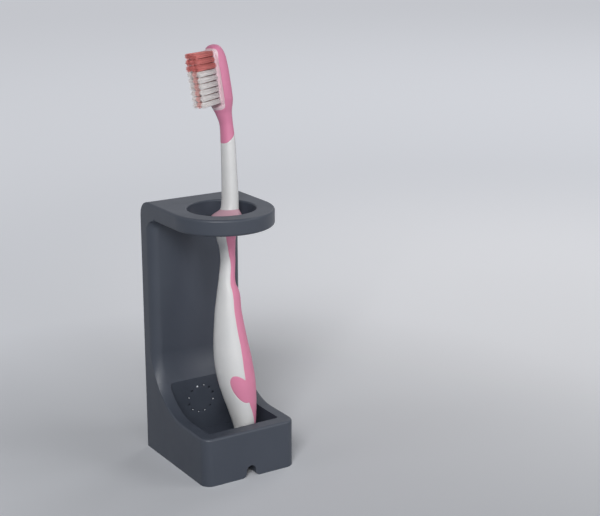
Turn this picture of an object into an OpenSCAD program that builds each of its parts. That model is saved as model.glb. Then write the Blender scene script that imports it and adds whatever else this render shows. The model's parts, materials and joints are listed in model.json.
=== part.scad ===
// A toothbrush holder moulded in one piece, with the toothbrush that stands in it.
// Millimetres. X is to the right, Y is to the back, Z is up.
// The origin is on the ground, in the middle of the holder's footprint.

/* [Holder] */
// Width of the holder
holder_w = 40; // [30:0.5:60]
// Depth from the front of the base to the back face
holder_d = 48; // [40:0.5:70]
// Height of the holder
holder_h = 101.9; // [80:0.5:140]
// Thickness of the upright back plate
plate_t = 8; // [5:0.5:12]
// Thickness of the ring shelf at the top
shelf_t = 6.3; // [4:0.1:10]
// Height of the rim around the pocket
rim_h = 19.1; // [12:0.1:30]
// Radius of the outer edge of the rim and of the sweep
rim_r = 1; // [0.5:0.1:2]
// Radius of the upright front edges of the base and of the back plate
edge_r = 4; // [2:0.5:8]
// Radius of the sweep from the rim up to the back plate
scoop_r = 22.4; // [12:0.1:30]
// Radius of the corner under the ring shelf
under_r = 4; // [1:0.5:8]
// Radius of the back edge of the top
back_r = 6; // [1:0.5:10]
// Radius of the outer edges of the ring shelf
trim_r = 1; // [0.5:0.1:2]

/* [Ring hole] */
// Diameter of the hole that the toothbrush stands in
hole_d = 26; // [18:0.5:32]
// Radius of the lip around the top of the hole
lip_r = 0.7; // [0.5:0.1:3]
// Radius of the lip around the underside of the hole
lip_low_r = 0.8; // [0.4:0.1:2]

/* [Pocket] */
// Wall in front of the pocket
front_wall_t = 5.1; // [3:0.1:8]
// Wall beside the pocket
side_wall_t = 4.6; // [3:0.1:8]
// Thickness behind the pocket
rear_wall_t = 11.6; // [9:0.1:16]
// Thickness of the pocket's floor
floor_t = 7; // [5:0.5:12]
// Radius of the pocket's upright corners
pocket_r = 1.4; // [0.5:0.1:8]
// Number of pinholes in the ring on the pocket's back wall
pin_count = 12; // [6:1:16]
// Diameter of one pinhole
pin_d = 1; // [0.6:0.1:1.5]
// Depth of one pinhole
pin_depth = 1; // [0.5:0.1:2]
// Diameter of the circle that the pinholes are on
pin_ring_d = 11.1; // [8:0.1:13]
// Height of the middle of the pinhole ring
pin_ring_z = 20.3; // [16:0.1:22]
// Distance of the pinhole ring from the middle, to the left
pin_ring_left = 1.6; // [0:0.1:4]
// Angle of the first pinhole
pin_turn = 16.7; // [0:0.1:30]

/* [Drain] */
// Width of the drain notch in the front
drain_w = 4; // [3:0.1:8]
// Height of the drain notch
drain_h = 4.7; // [3:0.1:6]
// Radius of the flared feet beside the drain notch
drain_foot_r = 2; // [0.5:0.1:4]
// Diameter of the drain hole in the pocket's floor
drain_hole_d = 5; // [4.5:0.1:10]

/* [Toothbrush] */
// Length of the toothbrush
brush_l = 155.2; // [130:0.1:200]
// Widest width of its handle
brush_w = 15.1; // [12:0.1:20]
// Distance of the tail from the middle of the pocket, to the right
tail_right = 3.3; // [-6:0.1:6]
// Distance of the tail from the pocket's front wall
tail_in = 5.6; // [5.5:0.1:12]
// Gap between the tail and the pocket's floor
tail_gap = 0.35; // [0.3:0.05:1]
// Distance of the leaning toothbrush from the middle of the ring hole, to the right
neck_right = 6.1; // [0:0.1:6.2]
// Distance of the leaning toothbrush from the middle of the ring hole, to the back
neck_back = 3.5; // [0:0.1:3.6]
// Turn of the toothbrush about its own length
brush_turn = 111.7; // [0:0.1:360]

/* [Head] */
// Distance from the tip back to the seam between the tip tufts and the others
seam_back = 8.6; // [7:0.1:12]
// Distance of the head's flat front from the toothbrush's axis, at that seam
face_at = 5.47; // [4:0.01:10]
// Tilt of the head towards its bristles
head_tilt = 7.4; // [0:0.1:15]
// Length of the bristles
bristle_l = 8.3; // [6:0.1:12]
// Size of the square cell that one strand stands in
cell = 0.46; // [0.3:0.01:0.6]
// Distance between the columns of tufts
column_pitch = 2.85; // [2:0.05:4]
// Distance between the rows of tufts
row_pitch = 2.2; // [1.9:0.05:3]
// Thickness of the slice of the head that the bristles stand in
slice_t = 0.8; // [0.5:0.1:1.5]
// Rows of tufts at the tip
tip_rows = 3; // [1:1:4]
// Rows of tufts below the tip
low_rows = 6; // [4:1:8]

/* [Hidden] */
$fn = 96;
// Run-out of a cutter past the surface that it opens
over = side_wall_t / 4;
front_y = -holder_d / 2;
back_y = holder_d / 2;
side_x = holder_w / 2;
plate_y = back_y - plate_t;
ring_y = front_y + side_x;
shelf_z = holder_h - shelf_t;
pocket_x = side_x - side_wall_t;
pocket_front_y = front_y + front_wall_t;
pocket_back_y = back_y - rear_wall_t;
column_x = side_x - edge_r;
column_y = plate_y + edge_r;

// Line of the toothbrush: from its tail in the pocket to its place in the ring hole
tail = [tail_right, pocket_front_y + tail_in, floor_t + tail_gap];
lean_step = [neck_right, ring_y + neck_back, holder_h] - tail;
brush_heading = atan2(lean_step[1], lean_step[0]);
brush_lean = acos(lean_step[2] / norm(lean_step));
seam_at = brush_l - seam_back;

// Points around the front stretch and around the back stretch of one section
front_n = 10;
back_n = 18;
ring_n = front_n + back_n;

// Sections of the toothbrush from its tail to its tip, one to a row.
// Shares of the length: distance from the tail. Shares of the widest width: offset of the
// middle towards the bristles, half thickness, half width. Then the squareness of the
// outline, and the share of a half turn from the front to the edge of the soft skin.
// Then, as shares of the widest width, the skin's thickness and how far the section climbs
// at the back. Last, where the skin is above the row: 0 none, 1 around the back, 2 all round.
section_shares = [
    [0.0000, -0.0728, 0.0238, 0.0278, 2.0, 0.500, 0.0066, 0.000, 0],
    [0.0032, -0.0722, 0.0940, 0.1073, 2.0, 0.583, 0.0331, 0.000, 0],
    [0.0103, -0.0695, 0.1563, 0.1801, 2.1, 0.722, 0.0464, 0.000, 0],
    [0.0193, -0.0649, 0.1894, 0.2185, 2.2, 0.833, 0.0530, 0.000, 0],
    [0.0271, -0.0596, 0.2099, 0.2411, 2.3, 0.889, 0.0530, 0.000, 1],
    [0.0387, -0.0523, 0.2325, 0.2669, 2.3, 0.756, 0.0795, 0.000, 1],
    [0.0515, -0.0444, 0.2490, 0.2861, 2.3, 0.656, 0.0927, 0.000, 1],
    [0.0677, -0.0278, 0.2728, 0.3139, 2.3, 0.594, 0.0927, 0.000, 1],
    [0.0857, -0.0079, 0.3007, 0.3457, 2.3, 0.550, 0.0927, 0.000, 1],
    [0.1044,  0.0199, 0.3344, 0.3854, 2.3, 0.511, 0.0927, 0.000, 1],
    [0.1205,  0.0450, 0.3629, 0.4179, 2.3, 0.478, 0.0927, 0.000, 1],
    [0.1250,  0.0530, 0.3702, 0.4258, 2.3, 0.372, 0.0927, 0.000, 1],
    [0.1353,  0.0715, 0.3854, 0.4437, 2.3, 0.239, 0.0927, 0.000, 1],
    [0.1546,  0.1046, 0.4106, 0.4722, 2.3, 0.161, 0.0927, 0.000, 1],
    [0.1772,  0.1411, 0.4298, 0.4947, 2.3, 0.161, 0.0927, 0.000, 1],
    [0.1933,  0.1662, 0.4371, 0.5000, 2.3, 0.222, 0.0927, 0.000, 1],
    [0.1985,  0.1742, 0.4371, 0.5000, 2.3, 0.444, 0.0927, 0.000, 1],
    [0.2287,  0.2166, 0.4318, 0.4960, 2.3, 0.456, 0.0927, 0.000, 1],
    [0.2577,  0.2517, 0.4073, 0.4682, 2.3, 0.467, 0.0927, 0.000, 1],
    [0.2880,  0.2715, 0.3788, 0.4358, 2.3, 0.461, 0.0927, 0.000, 1],
    [0.3189,  0.2821, 0.3424, 0.3934, 2.3, 0.450, 0.0927, 0.000, 1],
    [0.3512,  0.2861, 0.3066, 0.3523, 2.3, 0.433, 0.0927, 0.000, 1],
    [0.3769,  0.2695, 0.2815, 0.3232, 2.3, 0.417, 0.0927, 0.000, 1],
    [0.3963,  0.2517, 0.2609, 0.3000, 2.3, 0.406, 0.0861, 0.000, 1],
    [0.4085,  0.2583, 0.2351, 0.2709, 2.3, 0.406, 0.0795, 0.000, 1],
    [0.4188,  0.2762, 0.2040, 0.2344, 2.3, 0.417, 0.0662, 0.000, 1],
    [0.4343,  0.2662, 0.1854, 0.2132, 2.3, 0.428, 0.0662, 0.000, 1],
    [0.4549,  0.2331, 0.1755, 0.2013, 2.3, 0.417, 0.0662, 0.000, 1],
    [0.4858,  0.2000, 0.1695, 0.1947, 2.3, 0.333, 0.0662, 0.000, 1],
    [0.5129,  0.2033, 0.1874, 0.2152, 2.3, 0.283, 0.0728, 0.000, 1],
    [0.5303,  0.2172, 0.2139, 0.2464, 2.3, 0.261, 0.0795, 0.000, 1],
    [0.5490,  0.2159, 0.2517, 0.2894, 2.3, 0.244, 0.0927, 0.000, 1],
    [0.5644,  0.2026, 0.3126, 0.3596, 2.3, 0.233, 0.1126, 0.000, 2],
    [0.5760,  0.1887, 0.3483, 0.4007, 2.3, 0.278, 0.1391, 0.000, 2],
    [0.5844,  0.1775, 0.3550, 0.4086, 2.3, 0.333, 0.1457, 0.000, 2],
    [0.5902,  0.1457, 0.3219, 0.3709, 2.3, 0.389, 0.1192, 0.000, 2],
    [0.5954,  0.1073, 0.2728, 0.3139, 2.3, 0.444, 0.0795, 0.000, 2],
    [0.5999,  0.0762, 0.2371, 0.2728, 2.3, 0.472, 0.0464, 0.000, 0],
    [0.6070,  0.0477, 0.2119, 0.2437, 2.3, 0.500, 0.0331, 0.000, 0],
    [0.6482,  0.0093, 0.1907, 0.2192, 2.3, 0.500, 0.0331, 0.000, 0],
    [0.7068, -0.0046, 0.1768, 0.2033, 2.3, 0.500, 0.0331, 0.000, 0],
    [0.7506, -0.0146, 0.1722, 0.1980, 2.3, 0.500, 0.0331, 0.000, 0],
    [0.7616, -0.0166, 0.1682, 0.1934, 2.3, 0.489, 0.0397, 0.331, 2],
    [0.7835, -0.0113, 0.1550, 0.1781, 2.3, 0.472, 0.0397, 0.212, 2],
    [0.8061,  0.0066, 0.1497, 0.1722, 2.3, 0.444, 0.0464, 0.066, 2],
    [0.8196,  0.0305, 0.1589, 0.1828, 2.3, 0.411, 0.0464, 0.000, 2],
    [0.8325,  0.0642, 0.1788, 0.2060, 2.3, 0.367, 0.0530, 0.000, 2],
    [0.8421,  0.0927, 0.1954, 0.2424, 2.4, 0.322, 0.0596, 0.000, 1],
    [0.8499,  0.1126, 0.2073, 0.2728, 2.5, 0.317, 0.0662, 0.000, 1],
    [0.8589,  0.1265, 0.2199, 0.3079, 2.6, 0.322, 0.0662, 0.000, 1],
    [0.8731,  0.1457, 0.2318, 0.3444, 2.6, 0.333, 0.0662, 0.000, 1],
    [0.8956,  0.1755, 0.2318, 0.3576, 2.6, 0.339, 0.0662, 0.000, 1],
    [0.9343,  0.2272, 0.2318, 0.3543, 2.6, 0.333, 0.0662, 0.000, 1],
    [0.9646,  0.2616, 0.2225, 0.3278, 2.6, 0.333, 0.0662, 0.000, 1],
    [0.9800,  0.2715, 0.2000, 0.2861, 2.5, 0.333, 0.0662, 0.000, 1],
    [0.9903,  0.2748, 0.1642, 0.2305, 2.4, 0.344, 0.0596, 0.000, 2],
    [0.9968,  0.2728, 0.1126, 0.1563, 2.2, 0.417, 0.0464, 0.000, 2],
    [1.0000,  0.2715, 0.0530, 0.0728, 2.0, 0.500, 0.0232, 0.000, 2],
];
last = len(section_shares) - 1;
grip_first = 4;
grip_last = 37;
cover_first = 42;
// Distance along the toothbrush to the start of the lowest tufts, which need the flat front
tufts_from = seam_at - low_rows * row_pitch;

// Holder

// Plan of a block that runs to the back face, with rounded front edges
module plan(front) {
    for (x = [-column_x, column_x]) translate([x, front + edge_r]) circle(r = edge_r);
    translate([-column_x, front]) square([2 * column_x, edge_r]);
    translate([-side_x, front + edge_r]) square([holder_w, back_y - front - edge_r]);
}

// Profile of a hollow corner fillet that stands at the given distance from its axis
module fillet_profile(r, from) {
    difference() {
        translate([from - over, -over]) square([r + over, r + over]);
        translate([from + r, r]) circle(r = r);
        translate([from, r]) square([r + over, over]);
        translate([from - 2 * over, r]) square([2 * over, over]);
    }
}

// Hollow fillet along the front of the back plate and around its two rounded edges
module plate_fillet(r) {
    intersection() {
        union() {
            translate([-column_x, plate_y, 0])
                rotate([90, 0, 90])
                    linear_extrude(2 * column_x)
                        mirror([1, 0]) fillet_profile(r, 0);
            for (side = [0, 1])
                mirror([side, 0, 0])
                    translate([column_x, column_y, 0])
                        rotate([0, 0, -90])
                            rotate_extrude(angle = 90)
                                fillet_profile(r, edge_r);
        }
        translate([-side_x, front_y, -over]) cube([holder_w, holder_d, r + over]);
    }
}

// Corner that a rounded edge loses, from the middle of its rounding outwards
module edge_profile() {
    difference() {
        square(rim_r + over);
        circle(r = rim_r);
    }
}

// Cutters that round the outer edge of the rim and of the sweep behind it
module rim_edge_cuts() {
    scoop_y = plate_y - scoop_r;
    round_z = rim_h - rim_r;
    translate([-column_x, front_y + rim_r, round_z])
        rotate([90, 0, 90])
            linear_extrude(2 * column_x)
                mirror([1, 0]) edge_profile();
    for (side = [0, 1])
        mirror([side, 0, 0]) {
            translate([side_x - rim_r, scoop_y, round_z])
                rotate([90, 0, 0])
                    linear_extrude(scoop_y - front_y - edge_r)
                        edge_profile();
            translate([column_x, front_y + edge_r, round_z])
                rotate([0, 0, -90])
                    rotate_extrude(angle = 90)
                        translate([edge_r - rim_r, 0]) edge_profile();
            translate([0, scoop_y, rim_h + scoop_r])
                rotate([0, 90, 0])
                    rotate_extrude(angle = 90)
                        translate([scoop_r + rim_r, side_x - rim_r])
                            mirror([1, 0]) edge_profile();
        }
}

// Right half of the section across the ring shelf
module shelf_section_right() {
    square([side_x - trim_r, shelf_t]);
    translate([0, trim_r]) square([side_x, shelf_t - 2 * trim_r]);
    for (z = [trim_r, shelf_t - trim_r]) translate([side_x - trim_r, z]) circle(r = trim_r);
}

// Ring shelf: straight to the back, with a round front
module shelf() {
    translate([0, back_y, shelf_z])
        rotate([90, 0, 0])
            linear_extrude(back_y - ring_y) {
                shelf_section_right();
                mirror([1, 0]) shelf_section_right();
            }
    translate([0, ring_y, shelf_z])
        rotate([0, 0, 180])
            rotate_extrude(angle = 180)
                shelf_section_right();
}

// Cutter for the ring hole, flared at both lips
module hole_cut() {
    r = hole_d / 2;
    translate([0, ring_y, shelf_z])
        rotate_extrude()
            difference() {
                translate([0, -over]) square([r + lip_r, shelf_t + 2 * over]);
                translate([r, lip_low_r]) square([lip_r + over, shelf_t - lip_low_r - lip_r]);
                translate([r + lip_r, shelf_t - lip_r]) circle(r = lip_r);
                translate([r + lip_low_r, lip_low_r]) circle(r = lip_low_r);
                translate([r + lip_low_r, -2 * over]) square([lip_r, lip_low_r + 2 * over]);
            }
}

// Pocket that the toothbrush's tail stands in
module pocket_cut() {
    inner_x = pocket_x - pocket_r;
    inner_d = pocket_back_y - pocket_front_y;
    translate([0, 0, floor_t])
        linear_extrude(rim_h + scoop_r - floor_t) {
            for (x = [-inner_x, inner_x])
                for (y = [pocket_front_y + pocket_r, pocket_back_y - pocket_r])
                    translate([x, y]) circle(r = pocket_r);
            translate([-inner_x, pocket_front_y]) square([2 * inner_x, inner_d]);
            translate([-pocket_x, pocket_front_y + pocket_r]) square([2 * pocket_x, inner_d - 2 * pocket_r]);
        }
}

// Ring of blind pinholes in the pocket's back wall
module pin_cuts() {
    for (i = [0 : pin_count - 1]) {
        turn = pin_turn + i * 360 / pin_count;
        translate([pin_ring_d / 2 * cos(turn) - pin_ring_left, pocket_back_y + pin_depth,
            pin_ring_z + pin_ring_d / 2 * sin(turn)])
            rotate([90, 0, 0])
                cylinder(d = pin_d, h = pin_depth + over);
    }
}

// Drain: an arched notch from the front, and a hole down from the pocket's floor
module drain_cut() {
    half = drain_w / 2;
    translate([0, ring_y, 0])
        rotate([90, 0, 0])
            linear_extrude(ring_y - front_y + over)
                difference() {
                    union() {
                        translate([0, drain_h - half]) circle(r = half);
                        translate([-half, -over]) square([drain_w, drain_h - half + over]);
                        translate([-half - drain_foot_r, -over])
                            square([drain_w + 2 * drain_foot_r, drain_foot_r + over]);
                    }
                    for (side = [-1, 1])
                        translate([side * (half + drain_foot_r), drain_foot_r]) circle(r = drain_foot_r);
                }
    translate([0, ring_y, -over]) cylinder(d = drain_hole_d, h = floor_t + 2 * over);
}

// Side outline of the holder, with its rounded top edge at the back
module side_outline() {
    translate([front_y, 0]) square([holder_d, holder_h - back_r]);
    translate([front_y, 0]) square([holder_d - back_r, holder_h]);
    translate([back_y - back_r, holder_h - back_r]) circle(r = back_r);
}

module holder_body() {
    color([0.28, 0.31, 0.36])
        intersection() {
            difference() {
                union() {
                    linear_extrude(rim_h) plan(front_y);
                    linear_extrude(holder_h - trim_r) plan(plate_y);
                    translate([0, 0, rim_h]) plate_fillet(scoop_r);
                    translate([0, 0, shelf_z]) mirror([0, 0, 1]) plate_fillet(under_r);
                    shelf();
                }
                hole_cut();
                rim_edge_cuts();
                pocket_cut();
                pin_cuts();
                drain_cut();
            }
            translate([-side_x - over, 0, 0])
                rotate([90, 0, 90])
                    linear_extrude(holder_w + 2 * over) side_outline();
        }
}

// Toothbrush

module on_brush() {
    translate(tail)
        rotate([0, brush_lean, brush_heading])
            rotate([0, 0, brush_turn])
                children();
}

function row(i) = section_shares[i];
function along(i) = row(i)[0] * brush_l;
function mode(i) = i < 0 ? 0 : row(i)[8];
// Line that the middle of the head and its flat front follow
function flat_x(z) = face_at + (z - seam_at) * tan(head_tilt);
// Angle of point k of a section: first the front stretch, then the back stretch
function turn_at(i, k) = k <= front_n
    ? 180 * row(i)[5] * (2 * k / front_n - 1)
    : 180 * (row(i)[5] + (2 - 2 * row(i)[5]) * (k - front_n) / back_n);
function signed_pow(v, e) = sign(v) * pow(abs(v), e);
// Point k of section i, on the outer skin at level 0 and under the skin at level 1
function spot(i, level, k) =
    let (
        r = row(i),
        skin = level * r[6],
        a = turn_at(i, k),
        reach = (r[2] - skin) * brush_w * signed_pow(cos(a), 2 / r[4]),
        aside = (r[3] - skin) * brush_w * signed_pow(sin(a), 2 / r[4]),
        x = r[1] * brush_w + reach,
        z = along(i) + r[7] * brush_w * pow((1 - cos(a)) / 2, 2),
        x_flat = along(min(i + 1, last)) > tufts_from ? min(x, flat_x(z)) : x
    )
    [x_flat, aside, z];
function spots(i0, i1) = [for (i = [i0 : i1]) for (level = [0, 1]) for (k = [0 : ring_n - 1]) spot(i, level, k)];

// Corner number of point k, for a body that starts at section i0
function at(i, level, k) = (2 * i + level) * ring_n + k % ring_n;
function quad(a, b, c, d, turned) = turned ? [[a, b, c], [a, c, d]] : [[a, c, b], [a, d, c]];
function wall(i, level, k, turned) =
    quad(at(i, level, k), at(i, level, k + 1), at(i + 1, level, k + 1), at(i + 1, level, k), turned);
function edge(i, k, turned) = quad(at(i, 0, k), at(i + 1, 0, k), at(i + 1, 1, k), at(i, 1, k), turned);
function cap(i, k, turned) = quad(at(i, 0, k), at(i, 0, k + 1), at(i, 1, k + 1), at(i, 1, k), turned);
// Level of the core's surface at point k of the stretch above section i
function level_at(i, k) = mode(i) == 2 || (mode(i) == 1 && k >= front_n) ? 1 : 0;

function core_faces() = concat(
    [for (i = [0 : last - 1]) for (k = [0 : ring_n - 1]) for (f = wall(i, level_at(i, k), k, false)) f],
    [for (i = [0 : last - 1]) if (mode(i) == 1) for (f = edge(i, front_n, true)) f],
    [for (i = [0 : last - 1]) if (mode(i) == 1) for (f = edge(i, 0, false)) f],
    [for (i = [1 : last - 1]) for (k = [0 : ring_n - 1]) if (level_at(i - 1, k) != level_at(i, k))
        for (f = cap(i, k, level_at(i, k) == 0)) f],
    [for (k = [1 : ring_n - 2]) [at(0, 0, 0), at(0, 0, k), at(0, 0, k + 1)]],
    [for (k = [1 : ring_n - 2]) [at(last, 1, 0), at(last, 1, k + 1), at(last, 1, k)]]
);

// Skin between sections i0 and i1
function skin_faces(i0, i1) = concat(
    [for (i = [i0 : i1 - 1]) for (k = [0 : ring_n - 1]) if (level_at(i, k) == 1)
        for (level = [0, 1]) for (f = wall(i - i0, level, k, level == 1)) f],
    [for (i = [i0 : i1 - 1]) if (mode(i) == 1) for (f = edge(i - i0, front_n, false)) f],
    [for (i = [i0 : i1 - 1]) if (mode(i) == 1) for (f = edge(i - i0, 0, true)) f],
    [for (i = [i0 : i1]) for (k = [0 : ring_n - 1])
        let (below = i > i0 ? level_at(i - 1, k) : 0, above = i < i1 ? level_at(i, k) : 0)
        if (below != above) for (f = cap(i - i0, k, above == 1)) f]
);

module skin(i0, i1) {
    on_brush() polyhedron(points = spots(i0, i1), faces = skin_faces(i0, i1));
}

module handle_core() {
    color([0.78, 0.78, 0.79])
        on_brush() polyhedron(points = spots(0, last), faces = core_faces());
}

module grip() {
    color([0.85, 0.53, 0.66]) skin(grip_first, grip_last);
}

module head_cover() {
    color([0.82, 0.62, 0.69]) skin(cover_first, last);
}

// Bristles

// Grid lines across some tufts: an edge, five lines to a tuft, and the other edge
function lines(low, high, middles) = concat([low], [for (m = middles) for (j = [-2 : 2]) m + j * cell], [high]);
// Place of a cell inside its tuft, or -1 between tufts
function sub(a) = a == 0 || (a - 1) % 5 == 4 ? -1 : (a - 1) % 5;
function is_end(v) = v == 0 || v == 3;
function has_strand(a, b) = sub(a) >= 0 && sub(b) >= 0 && !(is_end(sub(a)) && is_end(sub(b)));
// The field of bristles narrows towards both ends of the head
taper_tip_share = 0.17;
taper_heel_share = 0.16;
tip_len = tip_rows * row_pitch;
low_len = low_rows * row_pitch;
function narrow(z) = z > 0 ? 1 - taper_tip_share * z / tip_len : 1 + taper_heel_share * z / low_len;
function on_slice(x, y, z) = [x, y * narrow(z), z];
// Strands spread a little, and differ a little in length
spread_share = 0.035;
length_share = 0.05;
function strand_top(a, b, y, z) =
    let (x = slice_t + bristle_l * (1 - length_share * ((3 * a + 5 * b) % 7) / 6))
    [x, y * narrow(z) * (1 + spread_share), z * (1 + spread_share)];
// Corners of one strand as shares of its cell
corner_shares = [[0.22, 0.28], [0.78, 0.28], [0.5, 0.78]];

function turned_faces(faces) = [for (f = faces) [f[0], f[2], f[1]]];

module bristle_block(ys, zs) {
    ny = len(ys);
    nz = len(zs);
    cells = [for (b = [0 : nz - 2]) for (a = [0 : ny - 2]) [a, b]];
    strands = [for (c = cells) if (has_strand(c[0], c[1])) c];
    bottom = [for (z = [zs[0], zs[nz - 1]]) for (y = [ys[0], ys[ny - 1]]) on_slice(0, y, z)];
    grid = [for (z = zs) for (y = ys) on_slice(slice_t, y, z)];
    corners = [for (s = strands) for (top = [0, 1]) for (c = corner_shares)
        let (
            y = ys[s[0]] + c[0] * (ys[s[0] + 1] - ys[s[0]]),
            z = zs[s[1]] + c[1] * (zs[s[1] + 1] - zs[s[1]])
        )
        top == 0 ? on_slice(slice_t, y, z) : strand_top(s[0], s[1], y, z)];
    first = 4 + ny * nz;
    function g(a, b) = 4 + b * ny + a;
    plain = [for (c = cells) if (!has_strand(c[0], c[1]))
        let (a = c[0], b = c[1])
        for (f = [[g(a, b), g(a + 1, b), g(a + 1, b + 1)], [g(a, b), g(a + 1, b + 1), g(a, b + 1)]]) f];
    grown = [for (i = [0 : len(strands) - 1])
        let (
            a = strands[i][0],
            b = strands[i][1],
            c0 = g(a, b),
            c1 = g(a + 1, b),
            c2 = g(a + 1, b + 1),
            c3 = g(a, b + 1),
            p = first + 6 * i,
            q = p + 1,
            r = p + 2,
            t = p + 3
        )
        for (f = [[c0, c1, q], [c0, q, p], [c1, c2, q], [c2, r, q], [c2, c3, r], [c3, p, r], [c3, c0, p],
            [p, q, q + 3], [p, q + 3, t], [q, r, r + 3], [q, r + 3, q + 3], [r, p, t], [r, t, r + 3],
            [t, q + 3, r + 3]]) f];
    under = [[0, 3, 1], [0, 2, 3]];
    low_side = concat([[0, 1, g(ny - 1, 0)]], [for (a = [0 : ny - 2]) [0, g(a + 1, 0), g(a, 0)]]);
    high_side = concat([[3, 2, g(0, nz - 1)]], [for (a = [0 : ny - 2]) [3, g(a, nz - 1), g(a + 1, nz - 1)]]);
    left_side = concat([[2, 0, g(0, 0)]], [for (b = [0 : nz - 2]) [2, g(0, b), g(0, b + 1)]]);
    right_side = concat([[1, 3, g(ny - 1, nz - 1)]],
        [for (b = [0 : nz - 2]) [1, g(ny - 1, b + 1), g(ny - 1, b)]]);
    on_brush()
        translate([face_at, 0, seam_at])
            rotate([0, head_tilt, 0])
                polyhedron(
                    points = concat(bottom, grid, corners),
                    faces = turned_faces(concat(under, low_side, high_side, left_side, right_side,
                        [for (f = plain) f], [for (f = grown) f])));
}

half_field = 1.5 * column_pitch - (column_pitch - 4 * cell) / 4;
function row_middles(n, up) = [for (i = [0 : n - 1]) (up ? i + 0.5 : i + 0.5 - n) * row_pitch];

module low_column(side) {
    low = side < 0 ? -half_field : (side - 0.5) * column_pitch;
    high = side > 0 ? half_field : (side + 0.5) * column_pitch;
    bristle_block(lines(low, high, [side * column_pitch]), lines(-low_len, 0, row_middles(low_rows, false)));
}

module bristles_tip() {
    color([0.72, 0.38, 0.36])
        bristle_block(lines(-half_field, half_field, [-column_pitch, 0, column_pitch]),
            lines(0, tip_len, row_middles(tip_rows, true)));
}

module bristles_middle() {
    color([0.72, 0.38, 0.36]) low_column(0);
}

module bristles_left() {
    color([0.86, 0.84, 0.83]) low_column(-1);
}

module bristles_right() {
    color([0.86, 0.84, 0.83]) low_column(1);
}

holder_body();
handle_core();
grip();
head_cover();
bristles_tip();
bristles_middle();
bristles_left();
bristles_right();
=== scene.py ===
import json
import math
import random

import bmesh
import bpy
import numpy as np
from mathutils import Matrix, Vector


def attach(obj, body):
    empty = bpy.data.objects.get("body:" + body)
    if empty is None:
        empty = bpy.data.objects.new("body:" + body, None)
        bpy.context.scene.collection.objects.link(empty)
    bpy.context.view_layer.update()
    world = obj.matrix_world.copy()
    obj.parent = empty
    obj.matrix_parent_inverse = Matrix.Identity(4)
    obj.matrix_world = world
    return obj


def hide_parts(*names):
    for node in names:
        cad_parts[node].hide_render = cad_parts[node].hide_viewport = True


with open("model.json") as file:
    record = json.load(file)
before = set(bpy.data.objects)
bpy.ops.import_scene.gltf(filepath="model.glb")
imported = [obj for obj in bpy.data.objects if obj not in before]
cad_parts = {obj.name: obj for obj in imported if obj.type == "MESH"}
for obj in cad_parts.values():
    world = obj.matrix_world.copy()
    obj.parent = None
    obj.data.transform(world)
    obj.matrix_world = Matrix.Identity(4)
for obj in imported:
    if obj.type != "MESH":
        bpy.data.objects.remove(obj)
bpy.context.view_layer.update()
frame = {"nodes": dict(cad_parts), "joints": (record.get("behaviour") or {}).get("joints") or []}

MM = 0.001
scene = bpy.context.scene


# Materials

def new_material(name, colour, roughness, **sockets):
    """A Principled material with its constants on the shader's own sockets."""
    material = bpy.data.materials.new(name)
    material.use_nodes = True
    shader = material.node_tree.nodes["Principled BSDF"]
    shader.inputs["Base Color"].default_value = (*colour, 1.0)
    shader.inputs["Roughness"].default_value = roughness
    for socket, value in sockets.items():
        shader.inputs[socket.replace("_", " ")].default_value = value
    return material, material.node_tree, shader


def srgb(red, green, blue):
    """Linear colour from 0-255 values."""
    def linear(v):
        v /= 255
        return v / 12.92 if v <= 0.04045 else ((v + 0.055) / 1.055) ** 2.4
    return tuple(linear(v) for v in (red, green, blue))


def add(tree, kind, **values):
    """A node, with its inputs and its settings given by name."""
    node = tree.nodes.new(kind)
    for key, value in values.items():
        if key in node.inputs:
            node.inputs[key].default_value = value
        else:
            setattr(node, key, value)
    return node


def calculated(tree, operation, *values, **settings):
    """Result of a maths node whose inputs are numbers or the outputs of other nodes."""
    node = add(tree, "ShaderNodeMath", operation=operation, **settings)
    for socket, value in zip(node.inputs, values):
        if isinstance(value, bpy.types.NodeSocket):
            tree.links.new(value, socket)
        else:
            socket.default_value = value
    return node.outputs[0]


def object_place(tree):
    """Coordinates on the object, in metres."""
    return tree.nodes.new("ShaderNodeTexCoord").outputs["Object"]


def noise_over(tree, place, scale, detail):
    noise = add(tree, "ShaderNodeTexNoise", Scale=scale, Detail=detail)
    tree.links.new(place, noise.inputs["Vector"])
    return noise.outputs["Fac"]


def colour_ramp(tree, shader, factor, stops, interpolation="LINEAR"):
    """Base colour that follows the factor through two or more (position, colour) stops."""
    ramp = tree.nodes.new("ShaderNodeValToRGB")
    ramp.color_ramp.interpolation = interpolation
    elements = ramp.color_ramp.elements
    for number, (position, colour) in enumerate(stops):
        element = elements[number] if number < 2 else elements.new(position)
        element.position = position
        element.color = (*colour, 1)
    tree.links.new(factor, ramp.inputs["Fac"])
    tree.links.new(ramp.outputs["Color"], shader.inputs["Base Color"])


def mottled(tree, shader, place, dark, light, scale):
    """Colour that drifts between two close tones over the object."""
    drift = noise_over(tree, place, scale, 3.0)
    colour_ramp(tree, shader, drift, [(0.3, dark), (0.7, light)])


def roughened(tree, shader, place, scale, low, high):
    """Roughness that varies over the object."""
    span = tree.nodes.new("ShaderNodeMapRange")
    span.inputs["To Min"].default_value = low
    span.inputs["To Max"].default_value = high
    tree.links.new(noise_over(tree, place, scale, 4.0), span.inputs["Value"])
    tree.links.new(span.outputs["Result"], shader.inputs["Roughness"])


def bumped(tree, shader, height, strength, distance):
    bump = add(tree, "ShaderNodeBump", Strength=strength, Distance=distance)
    tree.links.new(height, bump.inputs["Height"])
    tree.links.new(bump.outputs["Normal"], shader.inputs["Normal"])


# Scales of the noise, per metre, for the drift in tone, the gloss and the grain
HOLDER_TONE_SCALE = 45.0
HOLDER_GLOSS_SCALE = 160.0
HOLDER_GRAIN_SCALE = 1400.0
TONE_SCALE = 90.0
GLOSS_SCALE = 220.0
RUBBER_GRAIN_SCALE = 1600.0
PLASTIC_GRAIN_SCALE = 900.0
FINE_GRAIN_SCALE = 2500.0

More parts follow.
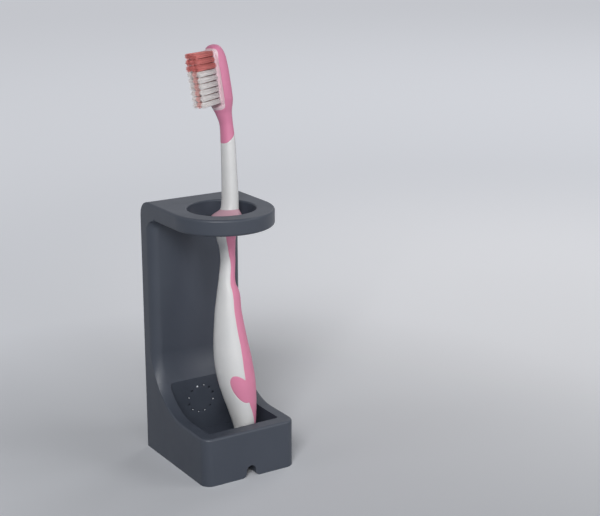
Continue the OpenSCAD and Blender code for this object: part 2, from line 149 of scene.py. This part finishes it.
# Fine level layers of the holder. A wave texture draws a little over three bands for each
# unit of its scale
LAYER_HEIGHT = 0.28 * MM
BANDS_PER_SCALE = 3.3
LAYER_WAVER = 0.35


def holder_material():
    """Matt slate plastic with very fine level layers and a slight grain."""
    material, tree, shader = new_material("slate_plastic", srgb(64, 70, 81), 0.4)
    place = object_place(tree)
    mottled(tree, shader, place, srgb(62, 68, 79), srgb(66, 72, 83), HOLDER_TONE_SCALE)
    roughened(tree, shader, place, HOLDER_GLOSS_SCALE, 0.38, 0.5)
    layers = add(tree, "ShaderNodeTexWave", wave_type="BANDS", bands_direction="Z",
                 Scale=1 / LAYER_HEIGHT / BANDS_PER_SCALE, Distortion=LAYER_WAVER)
    tree.links.new(place, layers.inputs["Vector"])
    grain = noise_over(tree, place, HOLDER_GRAIN_SCALE, 2.0)
    bumped(tree, shader, calculated(tree, "ADD", layers.outputs["Fac"], grain), 0.25, 0.03 * MM)
    return material


def moulded_material(name, dark, light, rough, grain_scale):
    """Moulded plastic or rubber: a slight drift in tone, a slight grain, uneven gloss."""
    material, tree, shader = new_material(name, light, rough)
    place = object_place(tree)
    mottled(tree, shader, place, dark, light, TONE_SCALE)
    roughened(tree, shader, place, GLOSS_SCALE, rough - 0.05, rough + 0.07)
    bumped(tree, shader, noise_over(tree, place, grain_scale, 2.0), 0.15, 0.02 * MM)
    return material


SLATE = holder_material()
WHITE = moulded_material(
    "white_plastic", srgb(219, 220, 221), srgb(225, 225, 225), 0.38, PLASTIC_GRAIN_SCALE,
)
PINK = moulded_material(
    "pink_rubber", srgb(220, 134, 166), srgb(227, 141, 172), 0.5, RUBBER_GRAIN_SCALE,
)
# The collar's paler, greyer pink paints in the sheen that it shows
COLLAR_SHEEN_PINK = moulded_material(
    "pink_rubber_painted_sheen", srgb(206, 160, 175), srgb(213, 168, 182), 0.45, RUBBER_GRAIN_SCALE,
)
HEAD_PINK = moulded_material(
    "pink_head_rubber", srgb(216, 130, 164), srgb(224, 138, 171), 0.42, RUBBER_GRAIN_SCALE,
)
PALE_PINK = moulded_material(
    "pale_pink_plastic", srgb(232, 204, 212), srgb(240, 212, 220), 0.42, RUBBER_GRAIN_SCALE,
)
CORAL = moulded_material(
    "coral_bristle", srgb(226, 132, 128), srgb(238, 148, 144), 0.45, FINE_GRAIN_SCALE,
)
PALE_CORAL = moulded_material(
    "pale_coral_bristle", srgb(244, 194, 190), srgb(250, 206, 202), 0.45, FINE_GRAIN_SCALE,
)
BRISTLE_WHITE = moulded_material(
    "white_bristle", srgb(250, 246, 245), srgb(254, 250, 249), 0.42, FINE_GRAIN_SCALE,
)
# Pale beads that paint glints of light in the pinholes' mouths
PAINTED_GLINT = moulded_material(
    "painted_glint", srgb(200, 205, 214), srgb(225, 229, 236), 0.3, FINE_GRAIN_SCALE,
)


def in_scene(name, data):
    """A new object of the scene, from its mesh, light or camera."""
    item = bpy.data.objects.new(name, data)
    scene.collection.objects.link(item)
    return item


# Toothbrush: place and form

# In millimetres. The toothbrush's own frame starts at its tail, with z along it and x
# towards the bristles. It leans along the axis of the joint
LENGTH = 155.2
TAIL = Vector((3.3, -13.3, 7.35))
TURN = math.radians(111.7)
lean = Vector(frame["joints"][0]["axis"]).normalized()
BRUSH = (
    Matrix.Translation(TAIL)
    @ Matrix.Rotation(math.atan2(lean.y, lean.x), 4, "Z")
    @ Matrix.Rotation(math.acos(lean.z), 4, "Y")
    @ Matrix.Rotation(TURN, 4, "Z")
)

# Side view from the tail to the tip, in millimetres: distance from the tail, offset of the
# middle towards the bristles, half thickness
PROFILE = [
    (0.0, -1.10, 0.00),
    (0.5, -1.09, 1.42),
    (1.6, -1.05, 2.36),
    (3.0, -0.98, 2.86),
    (6.0, -0.79, 3.51),
    (10.5, -0.42, 4.12),
    (16.2, 0.30, 5.05),
    (21.0, 1.08, 5.82),
    (27.5, 2.13, 6.49),
    (30.8, 2.63, 6.60),
    (35.5, 3.27, 6.52),
    (44.7, 4.10, 5.72),
    (54.5, 4.32, 4.63),
    (61.5, 3.80, 3.94),
    (63.4, 3.90, 3.55),
    (65.0, 4.17, 3.08),
    (67.4, 4.02, 2.80),
    (75.4, 3.02, 2.56),
    (79.6, 3.07, 2.83),
    (82.3, 3.28, 3.23),
    (85.2, 3.26, 3.80),
    (87.6, 3.06, 4.72),
    (89.4, 2.85, 5.26),
    (90.7, 2.68, 5.36),
    (91.6, 2.20, 4.86),
    (92.4, 1.62, 4.12),
    (93.1, 1.05, 3.40),
    (94.2, 0.68, 3.08),
    (100.6, 0.14, 2.88),
    (109.7, -0.07, 2.67),
    (118.2, -0.25, 2.54),
    (125.1, 0.10, 2.26),
    (129.2, 0.97, 2.70),
    (131.9, 1.70, 3.13),
    (133.3, 1.91, 3.32),
    (135.5, 2.20, 3.50),
    (139.0, 2.65, 3.50),
    (145.0, 3.43, 3.50),
    (149.7, 3.95, 3.36),
    (152.1, 4.10, 3.02),
    (153.7, 4.15, 2.48),
    (154.7, 4.12, 1.70),
    (155.2, 4.10, 0.00),
]

# Width as a multiple of the thickness, by distance from the tail
WIDENING = [
    (0.0, 1.15), (129.2, 1.15), (131.9, 1.32), (133.3, 1.40), (135.5, 1.49), (139.0, 1.54),
    (145.0, 1.53), (149.7, 1.47), (152.1, 1.43), (155.2, 1.38),
]

# Squareness of the outline, where 2 is an ellipse, by distance from the tail
SQUARENESS = [(0.0, 2.0), (6.0, 2.3), (129.2, 2.3), (133.3, 2.6), (149.7, 2.6), (155.2, 2.0)]

# The head's flat front, and the step up to it from the neck
SEAM_AT = 146.6
FACE_AT = 5.47
HEAD_TILT = math.radians(7.4)
FLAT_FROM = 133.2
HEEL_AT = 131.4
HEEL_RISE = 1.6


def monotone(xs, ys):
    """A smooth curve through the points that never overshoots them."""
    xs, ys = np.asarray(xs, float), np.asarray(ys, float)
    gaps = np.diff(xs)
    steps = np.diff(ys) / gaps
    slopes = np.zeros(len(xs))
    slopes[0], slopes[-1] = steps[0], steps[-1]
    for i in range(1, len(xs) - 1):
        before, after = steps[i - 1], steps[i]
        if before * after > 0:
            w1, w2 = 2 * gaps[i] + gaps[i - 1], gaps[i] + 2 * gaps[i - 1]
            slopes[i] = (w1 + w2) / (w1 / before + w2 / after)

    def value(x):
        x = np.clip(x, xs[0], xs[-1])
        i = np.clip(np.searchsorted(xs, x, side="right") - 1, 0, len(xs) - 2)
        t = (x - xs[i]) / gaps[i]
        return (
            ys[i] * (1 + 2 * t) * (1 - t) ** 2
            + slopes[i] * gaps[i] * t * (1 - t) ** 2
            + ys[i + 1] * t * t * (3 - 2 * t)
            - slopes[i + 1] * gaps[i] * t * t * (1 - t)
        )
    return value


def curve(rows, column=1, change=float):
    """Smooth curve through one column of a table, by the distance in its first column."""
    return monotone([row[0] for row in rows], [change(row[column]) for row in rows])


offset_at = curve(PROFILE, 1)
depth_squared_at = curve(PROFILE, 2, lambda half: half * half)
widening_at = curve(WIDENING)
squareness_at = curve(SQUARENESS)


def width_squared_at(s):
    return depth_squared_at(s) * widening_at(s) ** 2


def smooth_step(low, high, x):
    t = np.clip((x - low) / (high - low), 0, 1)
    return t * t * (3 - 2 * t)


def signed_power(v, power):
    return np.sign(v) * np.abs(v) ** power


def brush_surface(s, angle):
    """Point on the toothbrush at distance s from the tail. Angle 0 faces the bristles."""
    power = 2 / squareness_at(s)
    half_depth = np.sqrt(np.maximum(depth_squared_at(s), 0))
    half_width = np.sqrt(np.maximum(width_squared_at(s), 0))
    x = offset_at(s) + half_depth * signed_power(np.cos(angle), power)
    y = half_width * signed_power(np.sin(angle), power)
    flat = FACE_AT + (s - SEAM_AT) * math.tan(HEAD_TILT)
    flat = flat + HEEL_RISE * (1 - smooth_step(HEEL_AT, FLAT_FROM, s))
    limit = np.where(s > HEEL_AT - 1, flat, np.inf)
    return np.stack([np.minimum(x, limit), y, s], -1)


# Toothbrush: outlines of the soft skins

# Angle round the handle at which the strip's edge runs, in degrees, by distance from the tail
STRIP_EDGE = [
    (3.4, 180), (4.2, 160), (6.0, 136), (9.7, 110), (13.3, 98), (19.1, 84), (25.0, 80), (29.5, 80),
    (35.8, 82), (42.4, 84), (46.3, 82), (55.8, 78), (63.3, 73), (70.8, 75), (77.7, 54), (82.4, 47),
    (87.6, 42), (94.0, 40),
]
GRIP_END = 93.6
COLLAR_FROM = 87.4
PETAL_AT = (24.9, 7.6)
PETAL_HALF = (6.4, 4.0)
FAR_PETAL_BACK = 1.8
PETAL_SLANT = math.radians(30)
PETAL_GIRTH = 7.0
PETAL_BLEND = 0.5
COLLAR_BLEND = 0.8
SLOPE_STEP = 0.2

COVER_FROM = 118.2
COVER_CLIMB = 4.6
COVER_BEND = 1.3
WINDOW_MIDDLE = 142.3
WINDOW_HALF = (11.3, 4.45)
WINDOW_SQUARENESS = 5
WINDOW_FAR = 3.0
TINY = 1e-6

strip_edge_at = curve(STRIP_EDGE, 1, math.radians)


def smooth_max(a, b, radius):
    h = np.clip(0.5 + 0.5 * (a - b) / radius, 0, 1)
    return b * (1 - h) + a * h + radius * h * (1 - h)


def grip_inside(s, angle):
    """Distance inside the grip's outline, in millimetres. Outside it is negative."""
    turn = np.abs((angle + math.pi) % (2 * math.pi) - math.pi)
    girth = np.sqrt(np.maximum(width_squared_at(s), 1))
    rise = strip_edge_at(s + SLOPE_STEP) - strip_edge_at(s - SLOPE_STEP)
    slope = rise / (2 * SLOPE_STEP) * girth
    strip = (turn - strip_edge_at(s)) * girth / np.sqrt(1 + slope ** 2)
    strip = np.minimum(strip, s - STRIP_EDGE[0][0])
    collar = s - COLLAR_FROM
    set_back = np.where(np.sin(angle) < 0, FAR_PETAL_BACK, 0)
    along, around = s - PETAL_AT[0], turn * PETAL_GIRTH - PETAL_AT[1] - set_back
    u = (along * math.cos(PETAL_SLANT) - around * math.sin(PETAL_SLANT)) / PETAL_HALF[0]
    v = (along * math.sin(PETAL_SLANT) + around * math.cos(PETAL_SLANT)) / PETAL_HALF[1]
    petal = (1 - np.sqrt(u * u + v * v)) * PETAL_HALF[1]
    inside = smooth_max(smooth_max(strip, petal, PETAL_BLEND), collar, COLLAR_BLEND)
    return np.minimum(inside, GRIP_END - s)


def cover_inside(s, angle):
    """Distance inside the outline of the cover round the neck and the head's back."""
    edge = COVER_FROM + COVER_CLIMB * ((1 - np.cos(angle)) / 2) ** COVER_BEND
    below = s - edge
    half_width = np.sqrt(np.maximum(width_squared_at(s), 0))
    y = half_width * signed_power(np.sin(angle), 2 / squareness_at(s))
    u = np.abs((s - WINDOW_MIDDLE) / WINDOW_HALF[0]) + TINY
    v = np.abs(y / WINDOW_HALF[1]) + TINY
    power = WINDOW_SQUARENESS
    reach = (u ** power + v ** power) ** (1 / power)
    along, around = u ** (power - 1) / WINDOW_HALF[0], v ** (power - 1) / WINDOW_HALF[1]
    rate = np.sqrt(along ** 2 + around ** 2) / reach ** (power - 1)
    window = np.clip((reach - 1) / rate, -WINDOW_FAR, WINDOW_FAR)
    return np.minimum(below, np.where(np.cos(angle) > 0, window, WINDOW_FAR))


# Toothbrush: core and skins

# Points round a section, and in millimetres how the skins stand over the core, roll down
# at their edges and how deep they reach, and how far the core sinks under them
AROUND = 160
SKIN_RAISE = 0.05
SKIN_ROLL = 0.45
SKIN_DIVE = 0.45
SKIN_DEPTH = 0.9
SKIN_MARGIN = -0.45
CORE_SINK = 0.4
CORE_SINK_OVER = 0.7
GRIP_SPAN = (2.5, 94.3)
COVER_SPAN = (117.0, LENGTH)

# Distances from the tail beyond which the core is paler, and beyond which the collar is paler with
# a painted sheen
PALE_FROM = 127.0
SHEEN_COLLAR_FROM = 88.6


def spaced(stops):
    """Distances along the toothbrush: (start, step) pairs up to the last one, which is the end."""
    out = []
    for (start, step), (end, _) in zip(stops, stops[1:]):
        count = max(1, round((end - start) / step))
        out += [start + (end - start) * i / count for i in range(count)]
    return np.array(out + [stops[-1][0]])


ALONG = spaced([
    (0.0, 0.06), (0.5, 0.2), (4.0, 0.35), (17.0, 0.22), (32.5, 0.6), (60.0, 0.4), (86.0, 0.2),
    (94.6, 0.8), (117.0, 0.25), (124.0, 0.5), (129.5, 0.2), (135.0, 0.4), (151.0, 0.2),
    (154.6, 0.06), (155.2, 0),
])
END_GAP = 0.002
ALONG[0], ALONG[-1] = END_GAP, LENGTH - END_GAP


def grid_over(along):
    """Distances, angles, points and outward normals of the toothbrush's surface."""
    angles = np.linspace(0, 2 * math.pi, AROUND, endpoint=False)
    s, angle = np.meshgrid(along, angles, indexing="ij")
    points = brush_surface(s, angle)
    across = np.roll(points, -1, 1) - np.roll(points, 1, 1)
    lengthwise = np.gradient(points, axis=0)
    normals = np.cross(across, lengthwise)
    size = np.linalg.norm(normals, axis=-1, keepdims=True)
    normals = normals / np.maximum(size, 1e-12)
    return s, angle, points, normals


def make_mesh(name, points, faces, material):
    """A smooth piece of the toothbrush, from points in millimetres in its own frame."""
    mesh = bpy.data.meshes.new(name)
    mesh.from_pydata([tuple(p) for p in points], [], faces)
    mesh.validate()
    mesh.transform(Matrix.Scale(MM, 4) @ BRUSH)
    mesh.polygons.foreach_set("use_smooth", [True] * len(mesh.polygons))
    mesh.materials.append(material)
    mesh.update()
    return in_scene(name, mesh)


def paint(piece, material, chosen):
    """Second material for the faces whose middle, in the toothbrush's own frame, is chosen."""
    piece.data.materials.append(material)
    to_brush = (Matrix.Scale(MM, 4) @ BRUSH).inverted()
    for polygon in piece.data.polygons:
        if chosen(to_brush @ polygon.center):
            polygon.material_index = 1


def core_mesh():
    s, angle, points, normals = grid_over(ALONG)
    inside = np.maximum(grip_inside(s, angle), cover_inside(s, angle))
    points = points - normals * (CORE_SINK * smooth_step(0.0, CORE_SINK_OVER, inside))[..., None]
    rows = len(ALONG)
    faces = [
        (i * AROUND + j, i * AROUND + (j + 1) % AROUND,
         (i + 1) * AROUND + (j + 1) % AROUND, (i + 1) * AROUND + j)
        for i in range(rows - 1) for j in range(AROUND)
    ]
    faces.append(tuple(reversed(range(AROUND))))
    faces.append(tuple((rows - 1) * AROUND + j for j in range(AROUND)))
    return make_mesh("brush_core", points.reshape(-1, 3), faces, WHITE)


def skin_mesh(name, inside_at, span, material):
    """Soft skin over the core, rolled down into it at its edges, as one closed shell."""
    along = ALONG[(ALONG >= span[0]) & (ALONG <= span[1])]
    s, angle, points, normals = grid_over(along)
    inside = inside_at(s, angle)
    rise = SKIN_RAISE - SKIN_DIVE * (1 - smooth_step(SKIN_MARGIN, SKIN_ROLL, inside))
    outer = (points + normals * rise[..., None]).reshape(-1, 3)
    inner = (points - normals * SKIN_DEPTH).reshape(-1, 3)
    keep = inside > SKIN_MARGIN
    keep_cell = keep[:-1] & keep[1:] & np.roll(keep, -1, 1)[:-1] & np.roll(keep, -1, 1)[1:]
    rows = len(along)
    count = rows * AROUND
    faces = []
    sides = {}
    for i, j in zip(*np.nonzero(keep_cell)):
        k = (j + 1) % AROUND
        corners = [i * AROUND + j, i * AROUND + k, (i + 1) * AROUND + k, (i + 1) * AROUND + j]
        faces.append(tuple(int(c) for c in corners))
        faces.append(tuple(int(c) + count for c in reversed(corners)))
        for a, b in zip(corners, corners[1:] + corners[:1]):
            if (b, a) in sides:
                del sides[(b, a)]
            else:
                sides[(a, b)] = True
    faces += [(int(b), int(a), int(a) + count, int(b) + count) for a, b in sides]
    all_points = np.concatenate([outer, inner])
    used = sorted({v for f in faces for v in f})
    number = {v: n for n, v in enumerate(used)}
    faces = [tuple(number[v] for v in f) for f in faces]
    return make_mesh(name, all_points[used], faces, material)


core = core_mesh()
paint(core, PALE_PINK, lambda middle: middle.z > PALE_FROM)
grip = skin_mesh("brush_grip", grip_inside, GRIP_SPAN, PINK)
paint(grip, COLLAR_SHEEN_PINK, lambda middle: middle.z > SHEEN_COLLAR_FROM)
cover = skin_mesh("brush_head_cover", cover_inside, COVER_SPAN, HEAD_PINK)


# Toothbrush: bristles

COLUMN_PITCH = 2.85
ROW_PITCH = 2.2
TIP_ROWS = 3
LOW_ROWS = 6
BRISTLE_LENGTH = 8.3
PLATE_RISE = 0.8
BRISTLES_IN_TUFT = 40
BRISTLE_RADIUS = 0.085
BRISTLE_SIDES = 5
DOME_DEPTH = 1.2 * BRISTLE_RADIUS
DOME_SHARE = 0.45
FOOT_SINK = 0.3
SPREAD = 0.035
LENGTH_SPREAD = 0.35
TIP_SCATTER = 0.05

# Radius of a tuft, and the share by which it opens towards the tips
TIP_TUFT = (0.98, 0.12)
LOW_TUFT = (0.88, 0.24)

# The field of tufts narrows towards both ends of the head
TAPER_TIP = 0.17 / (TIP_ROWS * ROW_PITCH)
TAPER_HEEL = 0.16 / (LOW_ROWS * ROW_PITCH)
GOLDEN_TURN = math.pi * (3 - math.sqrt(5))

HEAD = Matrix.Translation((FACE_AT, 0, SEAM_AT)) @ Matrix.Rotation(HEAD_TILT, 4, "Y")


def narrowed(y, z):
    return y * (1 - TAPER_TIP * z if z > 0 else 1 + TAPER_HEEL * z)


def bristle(points, faces, foot, top, draw):
    """One bristle with a domed end, from its foot to its top, in the head's own frame."""
    start = len(points)
    direction = (top - foot).normalized()
    side = direction.cross(Vector((0, 0, 1))).normalized()
    other = direction.cross(side)
    length = (top - foot).length
    rings = [(0, 1), (length - DOME_DEPTH, 1), (length, DOME_SHARE)]
    phase = draw.uniform(0, 2 * math.pi)
    for reach, share in rings:
        for i in range(BRISTLE_SIDES):
            turn = phase + 2 * math.pi * i / BRISTLE_SIDES
            out = (side * math.cos(turn) + other * math.sin(turn)) * BRISTLE_RADIUS * share
            points.append(foot + direction * reach + out)
    for ring in range(len(rings) - 1):
        for i in range(BRISTLE_SIDES):
            j = (i + 1) % BRISTLE_SIDES
            a, b = start + ring * BRISTLE_SIDES, start + (ring + 1) * BRISTLE_SIDES
            faces.append((a + i, a + j, b + j, b + i))
    end = start + (len(rings) - 1) * BRISTLE_SIDES
    faces.append(tuple(end + i for i in range(BRISTLE_SIDES)))
    faces.append(tuple(start + i for i in reversed(range(BRISTLE_SIDES))))


def tuft(points, faces, y, z, form, draw):
    """One tuft of bristles. Its form is its radius and how far it opens towards the tips."""
    radius, flare = form
    for k in range(BRISTLES_IN_TUFT):
        reach = radius * math.sqrt((k + 0.5) / BRISTLES_IN_TUFT)
        turn = k * GOLDEN_TURN
        dy, dz = reach * math.cos(turn), reach * math.sin(turn)
        foot_y, foot_z = narrowed(y, z) + dy, z + dz
        tall = BRISTLE_LENGTH - draw.uniform(0, LENGTH_SPREAD)
        foot = Vector((PLATE_RISE - FOOT_SINK, foot_y, foot_z))
        top = Vector((
            PLATE_RISE + tall,
            foot_y * (1 + SPREAD) + dy * flare + draw.uniform(-TIP_SCATTER, TIP_SCATTER),
            foot_z * (1 + SPREAD) + dz * flare + draw.uniform(-TIP_SCATTER, TIP_SCATTER),
        ))
        bristle(points, faces, foot, top, draw)


def tuft_block(name, columns, rows, form, material, seed):
    """Tufts at every row and column, numbered from the middle column and the seam."""
    draw = random.Random(seed)
    points, faces = [], []
    for row in rows:
        for column in columns:
            tuft(points, faces, column * COLUMN_PITCH, row * ROW_PITCH, form, draw)
    return make_mesh(name, [HEAD @ p for p in points], faces, material)


tip_rows = [i + 0.5 for i in range(TIP_ROWS)]
low_rows = [i + 0.5 - LOW_ROWS for i in range(LOW_ROWS)]
tip = tuft_block("tufts_tip", (-1, 0, 1), tip_rows, TIP_TUFT, CORAL, 1)
middle = tuft_block("tufts_middle", (0,), low_rows, LOW_TUFT, PALE_CORAL, 2)
left = tuft_block("tufts_left", (-1,), low_rows, LOW_TUFT, BRISTLE_WHITE, 3)
right = tuft_block("tufts_right", (1,), low_rows, LOW_TUFT, BRISTLE_WHITE, 4)


# Head plate under the tufts

PLATE_DRAWN_IN = 0.25
PLATE_HALF = 1.5 * COLUMN_PITCH - PLATE_DRAWN_IN
PLATE_FOOT = -0.6
PLATE_CORNER = 1.2
CORNER_STEPS = 8
PLATE_ROUND = 0.25
ROUND_STEPS = 4


def plate_outline(inset):
    """Outline of the raised plate that the tufts stand in, drawn in by the inset."""
    low, high = -LOW_ROWS * ROW_PITCH, TIP_ROWS * ROW_PITCH
    corners = []
    for sy, z_end, first in ((1, high, 0), (-1, high, 90), (-1, low, 180), (1, low, 270)):
        z_mid = z_end - math.copysign(PLATE_CORNER, z_end)
        y_mid = sy * (PLATE_HALF - PLATE_CORNER)
        for i in range(CORNER_STEPS + 1):
            turn = math.radians(first + 90 * i / CORNER_STEPS)
            y = y_mid + (PLATE_CORNER - inset) * math.cos(turn)
            z = z_mid + (PLATE_CORNER - inset) * math.sin(turn)
            corners.append((narrowed(y, z), z))
    return corners


def plate_mesh():
    """Raised plate with a rounded upper edge. A level is a height and the outline's inset."""
    levels = [(PLATE_FOOT, 0.0), (PLATE_RISE - PLATE_ROUND, 0.0)]
    for i in range(1, ROUND_STEPS + 1):
        turn = math.radians(90 * i / ROUND_STEPS)
        height = PLATE_RISE - PLATE_ROUND * (1 - math.sin(turn))
        levels.append((height, PLATE_ROUND * (1 - math.cos(turn))))
    points, faces = [], []
    for x, inset in levels:
        points += [HEAD @ Vector((x, y, z)) for y, z in plate_outline(inset)]
    count = len(plate_outline(0.0))
    for level in range(len(levels) - 1):
        low, high = level * count, (level + 1) * count
        for i in range(count):
            j = (i + 1) % count
            faces.append((low + i, low + j, high + j, high + i))
    faces.append(tuple(reversed(range(count))))
    faces.append(tuple((len(levels) - 1) * count + i for i in range(count)))
    return make_mesh("head_plate", points, faces, PALE_PINK)


plate = plate_mesh()

for piece, node, slot in (
    (core, "handle_core", "handle_plastic"),
    (grip, "grip", "soft_grip"),
    (cover, "head_cover", "soft_head"),
    (tip, "bristles_tip", "coral_bristle"),
    (middle, "bristles_middle", "coral_bristle"),
    (left, "bristles_left", "white_bristle"),
    (right, "bristles_right", "white_bristle"),
):
    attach(piece, "brush")
    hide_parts(node)
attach(plate, "brush")


# Holder

PIN_COUNT = 12
PIN_RADIUS = 0.5
PIN_RING_RADIUS = 5.55
PIN_RING_MIDDLE = Vector((-1.6, 12.4, 20.3))
PIN_TURN = 16.7

# Pale beads in the mouths of some pinholes, painting the glints of light seen there: number of the
# pinhole, share of its radius
GLINT_SHARES = [(3, 0.8), (2, 0.55), (11, 0.6), (5, 0.55), (7, 0.45), (9, 0.45), (8, 0.35)]


# Painted glints: small pale beads in the pinholes' mouths
def glint_mesh():
    form = bmesh.new()
    for number, share in GLINT_SHARES:
        turn = math.radians(PIN_TURN + 360 * number / PIN_COUNT)
        place = PIN_RING_MIDDLE + PIN_RING_RADIUS * Vector((math.cos(turn), 0, math.sin(turn)))
        bmesh.ops.create_icosphere(
            form, subdivisions=2, radius=PIN_RADIUS * share, matrix=Matrix.Translation(place),
        )
    mesh = bpy.data.meshes.new("pinhole_glints")
    form.to_mesh(mesh)
    form.free()
    mesh.transform(Matrix.Scale(MM, 4))
    mesh.polygons.foreach_set("use_smooth", [True] * len(mesh.polygons))
    mesh.materials.append(PAINTED_GLINT)
    return in_scene("pinhole_glints", mesh)


glints = glint_mesh()
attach(glints, "holder")

# Finish of the holder, in millimetres and degrees
WELD_WITHIN = 0.002
BEVEL_WIDTH = 0.3
BEVEL_ABOVE = 35

holder = frame["nodes"]["holder_body"]
holder.data.materials.clear()
holder.data.materials.append(SLATE)
weld = holder.modifiers.new("weld", "WELD")
weld.merge_threshold = WELD_WITHIN * MM
bevel = holder.modifiers.new("bevel", "BEVEL")
bevel.width = BEVEL_WIDTH * MM
bevel.segments = 3
bevel.limit_method = "ANGLE"
bevel.angle_limit = math.radians(BEVEL_ABOVE)
bevel.use_clamp_overlap = True
flats = holder.modifiers.new("flats", "WEIGHTED_NORMAL")
flats.mode = "FACE_AREA"
flats.weight = 100
for polygon in holder.data.polygons:
    polygon.use_smooth = True


# Floor, background, lights and camera

# In metres: painted light on the floor, palest round its middle, darker beyond the second stop and
# faded to a dark tone at the third, as light falling off would make it. The stops are shares of
# the reach
STAGE_HALF = 6.0
STAGE_LIGHT_POOL_MIDDLE = (0.26, 0.09, 0.0)
STAGE_REACH = 2.0
STAGE_PAINTED_LIGHT_STOPS = [
    (0.03, srgb(249, 250, 254)),
    (0.185, srgb(213, 216, 222)),
    (0.95, srgb(58, 59, 61)),
]
STAGE_DRIFT = 0.01
STAGE_ROUGHNESS = 0.8

# Painted glow: what the camera and the gloss see of the floor goes over into the world's colour
# with the distance from a point in front of the holder, and starts from nothing at the holder
WORLD_COLOUR = srgb(200, 202, 208)
GLOW_FROM = (0.03, -0.14, 0.0)
GLOW_REACH = 0.72
GLOW_FULL_FROM = 0.19


def only_seen(tree):
    """1 for rays from the camera, gloss or transmission, and 0 for diffuse and shadow rays."""
    rays = tree.nodes.new("ShaderNodeLightPath").outputs
    seen = calculated(tree, "ADD", rays["Is Camera Ray"], rays["Is Glossy Ray"], use_clamp=True)
    return calculated(tree, "ADD", seen, rays["Is Transmission Ray"], use_clamp=True)


def distance_from(tree, place, point):
    apart = add(tree, "ShaderNodeVectorMath", operation="DISTANCE")
    apart.inputs[1].default_value = point
    tree.links.new(place, apart.inputs[0])
    return apart.outputs["Value"]


def stage_material():
    """Pale card with painted light: lightest beside the object and darker far from it, and a
    painted glow further out.
    """
    material, tree, shader = new_material(
        "pale_stage", srgb(235, 237, 242), STAGE_ROUGHNESS, Specular_IOR_Level=0.0,
    )
    place = object_place(tree)
    share = calculated(tree, "MULTIPLY", distance_from(tree, place, STAGE_LIGHT_POOL_MIDDLE), 1 / STAGE_REACH)
    drift = noise_over(tree, place, 2.0, 3.0)
    drifted = calculated(tree, "MULTIPLY_ADD", drift, STAGE_DRIFT, share)
    # Painted light: the floor's colour falls off with the distance from the pool's middle
    colour_ramp(tree, shader, drifted, STAGE_PAINTED_LIGHT_STOPS, "EASE")

    # Painted glow on the floor for the camera and the gloss, growing with the distance
    far = calculated(tree, "MULTIPLY", distance_from(tree, place, GLOW_FROM), -1 / GLOW_REACH)
    glow = calculated(tree, "SUBTRACT", 1.0, calculated(tree, "EXPONENT", far))
    near = tree.nodes.new("ShaderNodeMapRange")
    near.inputs["From Max"].default_value = GLOW_FULL_FROM
    tree.links.new(distance_from(tree, place, (0, 0, 0)), near.inputs["Value"])
    kept = calculated(tree, "MULTIPLY", glow, near.outputs["Result"])
    shown = calculated(tree, "MULTIPLY", kept, only_seen(tree))
    shader.inputs["Emission Color"].default_value = (*WORLD_COLOUR, 1)
    tree.links.new(shown, shader.inputs["Emission Strength"])
    return material


def floor_mesh():
    corners = [(-1, -1), (1, -1), (1, 1), (-1, 1)]
    mesh = bpy.data.meshes.new("stage_floor")
    mesh.from_pydata([(x * STAGE_HALF, y * STAGE_HALF, 0) for x, y in corners], [], [(0, 1, 2, 3)])
    mesh.materials.append(stage_material())
    piece = in_scene("stage_floor", mesh)


floor_mesh()

LIGHT_AIM = Vector((0, 0, 0.07))
LIGHT_DISTANCE = 2.0
CAMERA_HEADING = -29

# Name, azimuth to the right of the camera and elevation in degrees, size in metres, watts
LIGHTS = [
    ("key", -9, 36, 0.77, 23.0),
    ("front", 20, 12, 0.77, 5.5),
    ("right", 60, 14, 0.77, 5.2),
    ("far_right", 85, 36, 0.6, 4.0),
    ("back", 150, 38, 0.77, 3.6),
    ("left", -75, 40, 0.6, 1.5),
]


def soft_light(name, azimuth, elevation, size, power):
    """A square light that faces the object."""
    heading, climb = math.radians(CAMERA_HEADING + azimuth), math.radians(elevation)
    away = Vector((
        math.cos(climb) * math.sin(heading),
        -math.cos(climb) * math.cos(heading),
        math.sin(climb),
    ))
    data = bpy.data.lights.new(name, "AREA")
    data.shape = "SQUARE"
    data.size = size
    data.energy = power
    lamp = in_scene(name, data)
    lamp.location = LIGHT_AIM + LIGHT_DISTANCE * away
    lamp.rotation_mode = "QUATERNION"
    lamp.rotation_quaternion = (-away).to_track_quat("-Z", "Y")


for light in LIGHTS:
    soft_light(*light)


def pale_world():
    """Pale background for what the camera and the gloss see, with no diffuse light."""
    sky = bpy.data.worlds.new("pale_world")
    sky.use_nodes = True
    background = sky.node_tree.nodes["Background"]
    background.inputs["Color"].default_value = (*WORLD_COLOUR, 1)
    sky.node_tree.links.new(only_seen(sky.node_tree), background.inputs["Strength"])
    return sky


scene.world = pale_world()
scene.view_settings.view_transform = "Standard"

CAMERA_AT = Vector((-245.2, -441.9, 224.5)) * MM
CAMERA_AIM = Vector((40, 4, 74.15)) * MM
CAMERA_ROLL = math.radians(-0.05)
IMAGE_WIDTH = 600
FOCAL_PIXELS = 1377
SENSOR = 36.0

camera_data = bpy.data.cameras.new("camera")
camera_data.sensor_width = SENSOR
camera_data.sensor_fit = "HORIZONTAL"
camera_data.lens = SENSOR * FOCAL_PIXELS / IMAGE_WIDTH
camera_data.clip_start = 0.01
camera_data.clip_end = 20
camera = in_scene("camera", camera_data)
camera.location = CAMERA_AT
camera.rotation_mode = "QUATERNION"
camera.rotation_quaternion = (
    (CAMERA_AIM - CAMERA_AT).to_track_quat("-Z", "Y")
    @ Matrix.Rotation(CAMERA_ROLL, 3, "Z").to_quaternion()
)
scene.camera = camera
